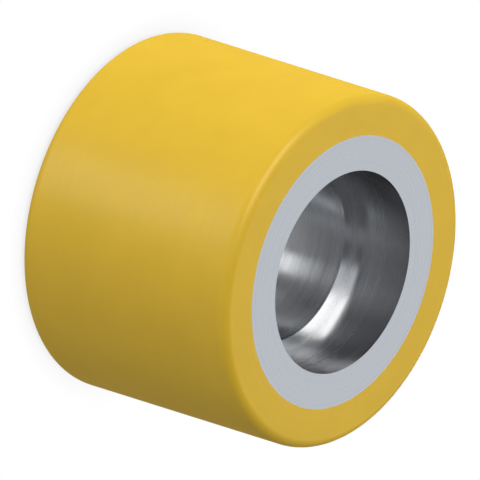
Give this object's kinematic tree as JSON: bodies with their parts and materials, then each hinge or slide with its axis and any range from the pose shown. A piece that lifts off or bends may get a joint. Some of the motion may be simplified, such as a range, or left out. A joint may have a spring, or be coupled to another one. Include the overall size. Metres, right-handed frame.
{
  "type": "pallet truck wheel",
  "caption": "Cylindrical load roller of a pallet truck: a yellow polyurethane tread bonded to a turned steel core, bored through, with a shouldered bearing seat at each end.",
  "frame": {"origin": "middle of the roller, on its axis, halfway between the end faces", "axes": "+Z along the roller's axis, out of the end face that the picture shows; the roller stands on its other end face. It is round, so +X and +Y are any two directions square to the axis"},
  "size_m": [0.082, 0.082, 0.06],
  "materials": {
    "core_steel": "satin",
    "tread_polyurethane": "satin"
  },
  "bodies": {
    "root": {"core": "core_steel", "tread": "tread_polyurethane"}
  },
  "joints": []
}
